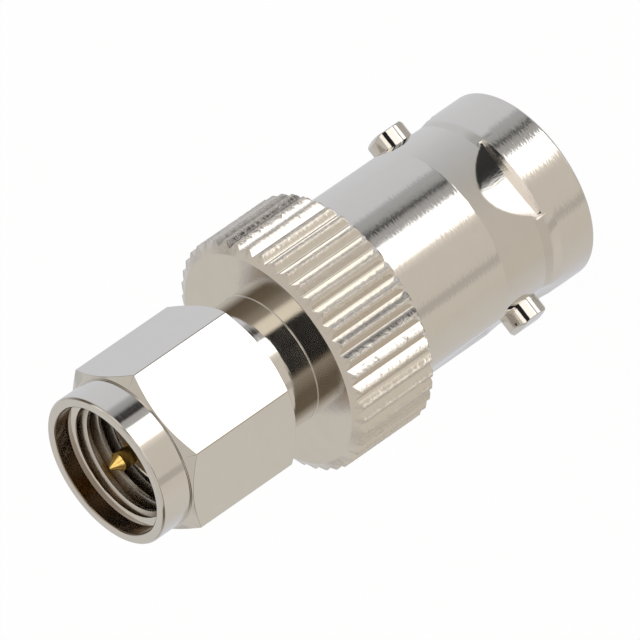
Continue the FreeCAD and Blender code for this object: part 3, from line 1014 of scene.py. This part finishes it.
@dataclass
class CouplingNut:
    """Hexagonal coupling nut with a round collar, its plain entry and the bore under its thread."""

    levels: Levels
    hex_width: float = 7.94
    hex_slope: float = 30.0
    corner_angle: float = 2.0
    corner_round: float = 0.10
    # Share of painted shade that draws a dark line along the hexagon's corners
    corner_painted_shade: float = 0.75
    border_round: float = 0.022
    spare_row: float = 0.4
    hex_margin: float = 0.1
    face_radius: float = 3.92
    collar_radius: float = 3.825
    collar_length: float = 1.69
    collar_bevel: float = 0.10
    entry_radius: float = 3.30
    entry_depth: float = 0.84
    entry_bevel: float = 0.07
    shoulder_edge: float = 0.02
    lip_radius: float = 2.96
    lip_drop: float = 0.14
    lip_land: float = 0.05
    thread_root: float = 3.20
    thread_depth: float = 4.98
    bearing_radius: float = 2.76
    groove_radius: float = 3.11
    groove_rise: float = 1.08
    groove_width: float = 0.44
    side_columns: int = 40

    def outline(self) -> tuple[Corner, ...]:
        """Closed outline of the nut.

        Returns:
            Corners up the outside and down the bore; the two outer ones are spare rows for the hexagon.
        """
        base, mouth = self.levels.nut_base, self.levels.nut_mouth
        hex_top = mouth - self.collar_length
        corner = self._corner_reach()
        entry_floor = mouth - self.entry_depth
        groove = base + self.groove_rise
        return (
            (self.bearing_radius, base, 0.0),
            (self.face_radius, base, 0.015),
            (corner, base + self.spare_row, 0.0),
            (corner, hex_top - self.spare_row, 0.0),
            (self.face_radius, hex_top, 0.015),
            (self.collar_radius, hex_top, 0.02),
            (self.collar_radius, mouth - self.collar_bevel, 0.03),
            (self.collar_radius - self.collar_bevel, mouth, 0.03),
            (self.entry_radius + self.entry_bevel, mouth, 0.03),
            (self.entry_radius, mouth - self.entry_bevel, 0.03),
            (self.entry_radius, entry_floor + self.shoulder_edge, 0.0),
            (self.entry_radius, entry_floor, 0.0),
            (self.lip_radius, entry_floor - self.lip_drop, 0.02),
            (self.lip_radius, entry_floor - self.lip_drop - self.lip_land, 0.0),
            (self.thread_root, entry_floor - self.lip_drop - self.lip_land, 0.0),
            (self.thread_root, mouth - self.thread_depth, 0.0),
            (self.bearing_radius, mouth - self.thread_depth, 0.0),
            (self.bearing_radius, groove + self.groove_width, 0.0),
            (self.groove_radius, groove + self.groove_width, 0.0),
            (self.groove_radius, groove, 0.0),
            (self.bearing_radius, groove, 0.0),
        )

    def column_angle(self, column: int) -> float:
        """Angle at which a column of one side stands.

        Args:
            column: number of the column, the first at a corner.

        Returns:
            Angle from that corner in degrees.
        """
        tangent = self._tangent_angle()
        lead = (0.0, tangent / 2, tangent)
        if column < len(lead):
            return lead[column]
        if column == self.side_columns - 1:
            return SIDE_ANGLE - tangent / 2
        share = (column - 2) / (self.side_columns - 4)
        return tangent + (SIDE_ANGLE - 2 * tangent) * share

    def _corner_reach(self) -> float:
        """Radius of the sharp hexagon at its corners."""
        return self.hex_width / 2 / math.cos(math.radians(SIDE_ANGLE / 2))

    def _tangent_angle(self) -> float:
        """Angle from a corner to the place where its rounding meets the flat.

        Returns:
            Angle in degrees.
        """
        along_flat = self.corner_round * math.tan(math.radians(SIDE_ANGLE / 2))
        lead = along_flat * math.cos(math.radians(SIDE_ANGLE / 2)) / (self._corner_reach() - along_flat / 2)
        return math.degrees(lead)

    def hexagon_at(self, angle: float) -> float:
        """Radius of the hexagon with its rounded corners.

        Args:
            angle: angle from one of its corners in degrees.

        Returns:
            Radius in millimetres.
        """
        half_side = SIDE_ANGLE / 2
        away = min(angle, SIDE_ANGLE - angle)
        plain = self.hex_width / 2 / math.cos(math.radians(half_side - away))
        centre = self._corner_reach() - self.corner_round / math.cos(math.radians(half_side))
        side = centre * math.sin(math.radians(away))
        reach = math.sqrt(max(self.corner_round**2 - side**2, 0.0))
        rounded = centre * math.cos(math.radians(away)) + reach
        return min(plain, rounded) if away < self._tangent_angle() else plain

    def shape(self, form: bmesh.types.BMesh) -> None:
        """Give the nut its hexagon and the bevels that cut its corners.

        Args:
            form: turned nut, whose vertices move and get a mask of painted shade for its bore and a dark line
                on its corners.
        """
        base = self.levels.nut_base
        hex_top = self.levels.nut_mouth - self.collar_length
        slope = math.tan(math.radians(self.hex_slope))
        step = SIDE_ANGLE / self.side_columns
        bore = form.verts.layers.float.new("bore")
        borders: tuple[set[bmesh.types.BMVert], ...] = (set(), set())
        for vertex in form.verts:
            radius, angle = polar(vertex.co)
            height = vertex.co.z
            side, column = divmod(round((angle % FULL_TURN) / step), self.side_columns)
            offset = self.column_angle(column)
            angle = side * SIDE_ANGLE + offset + self.corner_angle
            if radius > self.face_radius + self.hex_margin:
                upper = height > (base + hex_top) / 2
                radius = self.hexagon_at(offset)
                cut = (radius - self.face_radius) * slope
                height = hex_top - cut if upper else base + cut
                borders[upper].add(vertex)
            depth = self.levels.nut_mouth - height - self.entry_depth
            # Painted shade in the bore, leaving the entry's shoulder light
            shoulder = -self.shoulder_edge / 2 < depth < self.lip_drop + self.lip_land / 2
            vertex[bore] = float(radius < self.entry_radius + self.entry_bevel / 2 and not shoulder)
            # Painted shade: a dark line along each corner of the hexagon
            if column == 0 and radius > self.face_radius + self.hex_margin:
                vertex[bore] = self.corner_painted_shade
            set_polar(vertex, radius, angle, height)
        edges = [edge for edge in form.edges if any(set(edge.verts) <= border for border in borders)]
        bmesh.ops.bevel(form, geom=edges, offset=self.border_round, affect="EDGES", segments=2, profile=0.5)

    def build(self, bench: Bench) -> None:
        """Make the nut.

        Args:
            bench: maker of the finished object.
        """
        form = spin_form(self.outline(), 6 * self.side_columns)
        self.shape(form)
        bench.place(
            form, "coupling_nut_shell", NUT_NICKEL, "coupling_nut", Carrier.NUT, Slot.NUT_NICKEL, sharp=35.0
        )


@dataclass
class NutThread:
    """Internal thread of the nut, cut off flat at the entry and at its end."""

    levels: Levels
    pitch: float = 25.4 / 36
    minor_radius: float = 2.81
    major_radius: float = 3.20
    bedding: float = 0.06
    crest_width: float = 0.17
    root_width: float = 0.09
    entry_depth: float = 1.03
    end_depth: float = 4.97
    start_angle: float = 113.6
    steps_per_turn: int = 144

    def build(self, bench: Bench) -> None:
        """Make the thread.

        Args:
            bench: maker of the finished object.
        """
        top = self.levels.nut_mouth - self.entry_depth
        bottom = self.levels.nut_mouth - self.end_depth
        turns = math.ceil((top - bottom) / self.pitch) + 2
        half_root = (self.pitch - self.root_width) / 2
        form = bmesh.new()
        bed = self.major_radius + self.bedding
        corners = (
            (bed, -half_root),
            (self.major_radius, -half_root),
            (self.minor_radius, -self.crest_width / 2),
            (self.minor_radius, self.crest_width / 2),
            (self.major_radius, half_root),
            (bed, half_root),
        )
        turn = math.radians(self.start_angle)
        points = [
            form.verts.new((radius * math.cos(turn), radius * math.sin(turn), bottom - self.pitch + height))
            for radius, height in corners
        ]
        for place, point in enumerate(points):
            form.edges.new((point, points[place - len(points) + 1]))
        bmesh.ops.spin(
            form,
            geom=form.verts[:] + form.edges[:],
            cent=(0, 0, 0),
            axis=(0, 0, 1),
            dvec=(0, 0, self.pitch / self.steps_per_turn),
            angle=math.radians(FULL_TURN),
            steps=self.steps_per_turn,
            use_merge=False,
            use_duplicate=False,
        )
        repeat_form(form, turns, lambda turn: Matrix.Translation((0, 0, self.pitch * turn)))
        for height, direction in ((top, 1.0), (bottom, -1.0)):
            cut = bmesh.ops.bisect_plane(
                form,
                geom=form.verts[:] + form.edges[:] + form.faces[:],
                plane_co=(0, 0, height),
                plane_no=(0, 0, direction),
                clear_outer=True,
            )
            rim = [piece for piece in cut["geom_cut"] if isinstance(piece, bmesh.types.BMEdge)]
            bmesh.ops.edgenet_fill(form, edges=rim)
        bmesh.ops.recalc_face_normals(form, faces=form.faces)
        # Painted shade mask: none at the crests and the cut top, full at the roots
        bore = form.verts.layers.float.new("bore")
        for vertex in form.verts:
            wall = (polar(vertex.co)[0] - self.minor_radius) / (self.major_radius - self.minor_radius)
            vertex[bore] = min(max(wall, 0.0), 1.0) if vertex.co.z < top - MERGE_REACH else 0.0
        bench.place(
            form, "nut_thread", THREAD_NICKEL, "coupling_nut", Carrier.NUT, Slot.NUT_NICKEL, sharp=25.0
        )


# Inside


@dataclass
class Core:
    """Insulators, centre pin, socket contact and retaining ring."""

    levels: Levels
    post_radius: float = 2.36
    post_bevel: float = 0.15
    contact_room: float = 1.13
    contact_room_end: float = 5.20
    contact_radius: float = 1.05
    stem_radius: float = 0.635
    bush_radius: float = 2.07
    tail_radius: float = 0.40
    pin_radius: float = 0.457
    pin_tip_radius: float = 0.06
    pin_taper: float = 0.55
    steps: int = 132

    def post(self) -> tuple[Corner, ...]:
        """Closed outline of the jack's insulator.

        Returns:
            Corners from its face round the outside.
        """
        face, floor = self.levels.post_face, self.levels.spigot_floor
        rear = self.levels.contact_rear
        return (
            (self.contact_room, face, 0.02),
            (self.post_radius - self.post_bevel, face, 0.04),
            (self.post_radius, face + self.post_bevel, 0.04),
            (self.post_radius, floor, 0.0),
            (self.stem_radius, floor, 0.0),
            (self.stem_radius, rear, 0.0),
            (self.contact_radius, rear, 0.0),
            (self.contact_radius, self.contact_room_end, 0.0),
            (self.contact_room, self.contact_room_end, 0.0),
        )

    def bush(self) -> tuple[Corner, ...]:
        """Closed outline of the plug's insulator.

        Returns:
            Corners from its foot round the outside.
        """
        floor, face = self.levels.spigot_floor, self.levels.bush_face
        return (
            (self.stem_radius, floor, 0.0),
            (self.bush_radius, floor, 0.0),
            (self.bush_radius, face, 0.03),
            (self.stem_radius, face, 0.02),
        )

    def pin(self) -> tuple[Corner, ...]:
        """Closed outline of the centre pin.

        Returns:
            Corners from the tail up to the tip.
        """
        rear, face = self.levels.contact_rear, self.levels.bush_face
        tail, tip = self.levels.pin_tail, self.levels.pin_tip
        return (
            (0.0, tail, 0.0),
            (self.tail_radius, tail, 0.0),
            (self.tail_radius, rear, 0.0),
            (self.stem_radius, rear, 0.0),
            (self.stem_radius, face, 0.0),
            (self.pin_radius, face, 0.0),
            (self.pin_radius, tip - self.pin_taper, 0.02),
            (self.pin_tip_radius, tip, 0.02),
            (0.0, tip, 0.0),
        )

    def build(self, bench: Bench) -> None:
        """Make the inner pieces and dress the solids that stay.

        Args:
            bench: maker of the finished objects.
        """
        pieces = (
            ("post_insulator", self.post(), FLUOROPLASTIC, "jack_insulator", Slot.INSULATOR),
            ("bush_insulator", self.bush(), FLUOROPLASTIC, "plug_insulator", Slot.INSULATOR),
            ("centre_pin", self.pin(), CONTACT_GOLD, "plug_pin", Slot.CONTACT_GOLD),
        )
        for name, outline, finish, node, slot in pieces:
            bench.place(spin_form(outline, self.steps), name, finish, node, Carrier.ADAPTER, slot)
        bench.dress("socket_contact", CONTACT_GOLD)
        bench.dress("retaining_ring", SPRING_BRONZE)


# Studio


@dataclass(frozen=True)
class Panel:
    """Band of the light tent with its colours by azimuth.

    A band takes over from the one below between two heights, given as the upward part of a direction.
    Its stops are an azimuth from +X in degrees and a colour, and its lean shifts them with the height.
    """

    start: float
    end: float
    stops: tuple[tuple[float, float, float, float], ...]
    lean: float = 0.0


WARM_SIDE = (
    (-158.0, 0.65, 0.60, 0.53), (-155.0, 0.50, 0.46, 0.41),
    (-147.0, 0.50, 0.46, 0.41), (-144.0, 0.65, 0.60, 0.53),
)
WHITE_STRIP = (
    (-104.0, 0.66, 0.61, 0.54), (-99.0, 0.78, 0.72, 0.65), (-94.5, 0.95, 0.86, 0.76),
    (-92.0, 1.90, 1.84, 1.75), (-66.0, 2.00, 2.00, 2.00), (-63.5, 0.46, 0.45, 0.45),
)
COOL_SIDE = (
    (-28.0, 0.44, 0.44, 0.45), (-23.0, 0.66, 0.66, 0.69), (34.0, 0.69, 0.70, 0.73),
    (110.0, 0.66, 0.66, 0.69), (140.0, 0.64, 0.61, 0.57), (180.0, 0.63, 0.58, 0.51),
)
TENT = (
    Panel(-1.01, -1.00, ((-180.0, 0.46, 0.43, 0.40), (180.0, 0.46, 0.43, 0.40))),
    Panel(
        -0.90,
        -0.84,
        (
            (-180.0, 0.60, 0.55, 0.48), (-132.0, 0.62, 0.57, 0.50), (-116.0, 1.10, 1.00, 0.94),
            (-104.0, 1.60, 1.55, 1.50), (-80.0, 1.60, 1.58, 1.55), (-76.0, 0.03, 0.03, 0.03),
            (-30.0, 0.05, 0.05, 0.05), (-16.0, 0.50, 0.50, 0.51), (34.0, 0.66, 0.66, 0.69),
            (110.0, 0.64, 0.64, 0.66), (180.0, 0.60, 0.55, 0.48),
        ),
    ),
    Panel(
        -0.68,
        -0.62,
        (
            (-180.0, 0.60, 0.55, 0.48), (-104.0, 0.60, 0.55, 0.49), (-60.0, 0.50, 0.48, 0.45),
            (-26.0, 0.55, 0.55, 0.56), (34.0, 0.69, 0.70, 0.73), (110.0, 0.66, 0.66, 0.69),
            (180.0, 0.60, 0.55, 0.48),
        ),
    ),
    Panel(
        -0.540,
        -0.530,
        (
            (-180.0, 0.63, 0.58, 0.51), *WARM_SIDE, *WHITE_STRIP, (-53.0, 0.40, 0.39, 0.38),
            (-50.5, 0.38, 0.37, 0.37), (-48.5, 0.07, 0.07, 0.07), (-45.5, 0.07, 0.07, 0.07),
            (-43.5, 0.34, 0.34, 0.34), (-36.0, 0.42, 0.42, 0.42), *COOL_SIDE,
        ),
        lean=300.0,
    ),
    Panel(
        -0.484,
        -0.479,
        (
            (-180.0, 0.68, 0.63, 0.56), *WARM_SIDE, *WHITE_STRIP, (-54.0, 0.42, 0.41, 0.41),
            (-51.5, 0.05, 0.04, 0.04), (-42.0, 0.05, 0.05, 0.05), (-37.0, 0.32, 0.32, 0.32),
            *COOL_SIDE[:-1], (180.0, 0.68, 0.63, 0.56),
        ),
        lean=30.0,
    ),
    Panel(
        -0.42,
        -0.34,
        (
            (-180.0, 0.57, 0.52, 0.46), (-130.0, 0.57, 0.52, 0.46), (-114.0, 1.25, 1.18, 1.08),
            (-68.0, 1.35, 1.30, 1.22), (-63.0, 0.42, 0.41, 0.40), (-26.0, 0.45, 0.45, 0.45),
            (-10.0, 0.62, 0.62, 0.63), (40.0, 0.66, 0.66, 0.68), (120.0, 0.64, 0.63, 0.62),
            (180.0, 0.57, 0.52, 0.46),
        ),
    ),
    Panel(
        0.04,
        0.08,
        (
            (-180.0, 0.45, 0.41, 0.37), (-124.0, 0.45, 0.41, 0.37), (-114.0, 1.10, 1.02, 0.96),
            (-77.0, 1.40, 1.32, 1.26), (-73.0, 0.03, 0.03, 0.03), (-55.0, 0.05, 0.05, 0.05),
            (-49.0, 0.40, 0.38, 0.36), (60.0, 0.55, 0.54, 0.53), (180.0, 0.45, 0.41, 0.37),
        ),
    ),
    Panel(
        0.21,
        0.26,
        (
            (-180.0, 0.15, 0.12, 0.09), (-150.0, 0.32, 0.28, 0.23), (-140.0, 0.05, 0.04, 0.03),
            (-134.0, 0.02, 0.02, 0.02), (-66.0, 0.02, 0.02, 0.02), (-60.0, 1.05, 0.98, 0.86),
            (-42.0, 1.00, 0.94, 0.82), (-33.0, 0.36, 0.32, 0.27), (-8.0, 0.18, 0.15, 0.11),
            (20.0, 0.13, 0.10, 0.07), (50.0, 0.62, 0.60, 0.57), (120.0, 0.64, 0.61, 0.57),
            (150.0, 0.16, 0.13, 0.09), (180.0, 0.15, 0.12, 0.09),
        ),
    ),
    Panel(
        0.57,
        0.62,
        (
            (-180.0, 0.62, 0.58, 0.52), (-140.0, 1.20, 1.12, 1.00), (-104.0, 1.20, 1.12, 1.00),
            (-100.0, 0.10, 0.08, 0.07), (-92.0, 0.10, 0.08, 0.07), (-88.0, 1.30, 1.22, 1.10),
            (-40.0, 1.10, 1.04, 0.96), (20.0, 0.62, 0.60, 0.56), (180.0, 0.62, 0.58, 0.52),
        ),
    ),
    Panel(
        0.69,
        0.72,
        (
            (-180.0, 0.62, 0.58, 0.52), (-124.0, 0.62, 0.58, 0.52), (-114.0, 1.15, 1.06, 1.00),
            (-77.0, 1.25, 1.18, 1.10), (-72.0, 0.03, 0.03, 0.03), (-52.0, 0.05, 0.05, 0.05),
            (-46.0, 0.62, 0.58, 0.53), (180.0, 0.62, 0.58, 0.52),
        ),
    ),
    Panel(0.80, 0.86, ((-180.0, 0.60, 0.56, 0.51), (180.0, 0.60, 0.56, 0.51))),
)
# Upward part of the direction that the upright walls mirror at the photograph's angle
WALL_GAZE = -0.4920


@dataclass(frozen=True)
class Studio:
    """Light tent, floor, soft overhead light and camera."""

    floor_size: float = 3.0
    floor_tint: tuple[float, float, float] = (0.93, 0.93, 0.93)
    floor_glow: float = 0.975
    camera_azimuth: float = -6.0864
    camera_elevation: float = 28.9208
    camera_roll: float = -124.6929
    camera_distance: float = 679.524
    camera_aim: tuple[float, float, float] = (0.107, -0.011, 12.670)
    lens: float = 843.75
    sensor: float = 36.0
    clip_start: float = 0.05
    clip_end: float = 20.0
    lamp_size: float = 0.25
    lamp_energy: float = 0.55
    lamp_place: tuple[float, float, float] = (0.08, -0.10, 0.40)

    def build_tent(self) -> None:
        """Fill the world with the tent that the metal mirrors, and white where the camera looks past it."""
        world = bpy.data.worlds.new("light_tent")
        world.use_nodes = True
        bpy.context.scene.world = world
        book = NodeBook(world.node_tree)
        direction = book.add("ShaderNodeTexCoord", output="Generated")
        across, along, up = book.split(direction)
        azimuth = along.angle_with(across) / (2 * math.pi) + 0.5
        tent = (0.0, 0.0, 0.0, 1.0)
        for panel in TENT:
            stops = tuple(((angle + 180.0) / FULL_TURN, tuple(colour)) for angle, *colour in panel.stops)
            leaning = azimuth + (up - WALL_GAZE) * (panel.lean / FULL_TURN)
            colours = book.add("ShaderNodeValToRGB", {"stops": stops}, {0: leaning})
            tent = book.blend(book.eased(up, panel.start, panel.end), tent, colours)
        seen = book.add("ShaderNodeLightPath", output="Is Camera Ray")
        colour = book.blend(seen, tent, (1.0, 1.0, 1.0, 1.0))
        background = book.add("ShaderNodeBackground", sockets={"Color": colour, "Strength": 1.0})
        book.add("ShaderNodeOutputWorld", sockets={"Surface": background})

    def build_floor(self) -> None:
        """Lay a pale floor that glows white to the camera, keeps a shadow and lets the metal see the tent."""
        form = bmesh.new()
        bmesh.ops.create_grid(form, x_segments=1, y_segments=1, size=self.floor_size / 2)
        mesh = bpy.data.meshes.new("floor")
        form.to_mesh(mesh)
        form.free()
        floor = bpy.data.objects.new("floor", mesh)
        bpy.context.scene.collection.objects.link(floor)
        material = bpy.data.materials.new("pale_floor")
        material.use_nodes = True
        book = NodeBook(material.node_tree)
        matt = book.add("ShaderNodeBsdfDiffuse", sockets={"Color": (*self.floor_tint, 1.0)})
        glow = book.add("ShaderNodeEmission", sockets={"Color": (1.0, 1.0, 1.0, 1.0), "Strength": 1.0})
        seen = book.add("ShaderNodeLightPath", output="Is Camera Ray")
        lit = book.add("ShaderNodeMixShader", sockets={0: seen * self.floor_glow, 1: matt, 2: glow})
        clear = book.add("ShaderNodeBsdfTransparent")
        mirrored = book.add("ShaderNodeLightPath", output="Is Glossy Ray")
        surface = book.add("ShaderNodeMixShader", sockets={0: mirrored, 1: lit, 2: clear})
        book.add("ShaderNodeOutputMaterial", sockets={"Surface": surface})
        mesh.materials.append(material)

    def build_lamp(self) -> None:
        """Hang one broad soft lamp overhead, which lights the dull pieces and not the mirror image."""
        lamp = bpy.data.lights.new("overhead", "AREA")
        lamp.shape = "DISK"
        lamp.size = self.lamp_size
        lamp.energy = self.lamp_energy
        holder = bpy.data.objects.new("overhead", lamp)
        holder.location = self.lamp_place
        holder.rotation_euler = (-holder.location).to_track_quat("-Z", "Y").to_euler()
        holder.visible_glossy = False
        bpy.context.scene.collection.objects.link(holder)

    def build_camera(self) -> None:
        """Set the camera at the photograph's viewing angle, turned about its line of sight."""
        azimuth, elevation = math.radians(self.camera_azimuth), math.radians(self.camera_elevation)
        back = Vector(
            (
                math.sin(azimuth) * math.cos(elevation),
                -math.cos(azimuth) * math.cos(elevation),
                math.sin(elevation),
            )
        )
        level = Vector((0, 0, 1)).cross(back).normalized()
        roll = math.radians(self.camera_roll)
        right = level * math.cos(roll) + back.cross(level) * math.sin(roll)
        up = back.cross(right)
        place = (Vector(self.camera_aim) + back * self.camera_distance) * MM
        data = bpy.data.cameras.new("portrait")
        data.lens = self.lens
        data.sensor_width = self.sensor
        data.clip_start = self.clip_start
        data.clip_end = self.clip_end
        camera = bpy.data.objects.new("portrait", data)
        rows = [(right[row], up[row], back[row], place[row]) for row in range(3)]
        camera.matrix_world = Matrix((*rows, (0, 0, 0, 1)))
        bpy.context.scene.collection.objects.link(camera)
        bpy.context.scene.camera = camera

    def build(self) -> None:
        """Make the whole studio."""
        self.build_camera()
        self.build_tent()
        self.build_floor()
        self.build_lamp()
        bpy.context.scene.view_settings.view_transform = "Standard"
        LOG.info("studio: tent, floor, lamp and camera")


def main() -> None:
    """Build the studio and every piece of the adapter, and report each."""
    logging.basicConfig(level=logging.INFO, format="%(message)s")
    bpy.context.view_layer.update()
    levels = Levels()
    bench = Bench()
    Studio().build()
    assemblies = (
        JackBarrel(levels),
        BayonetLugs(),
        GripFlange(levels),
        PlugShell(levels),
        CouplingNut(levels),
        NutThread(levels),
        Core(levels),
    )
    for assembly in assemblies:
        assembly.build(bench)


if __name__ == "__main__":
    main()
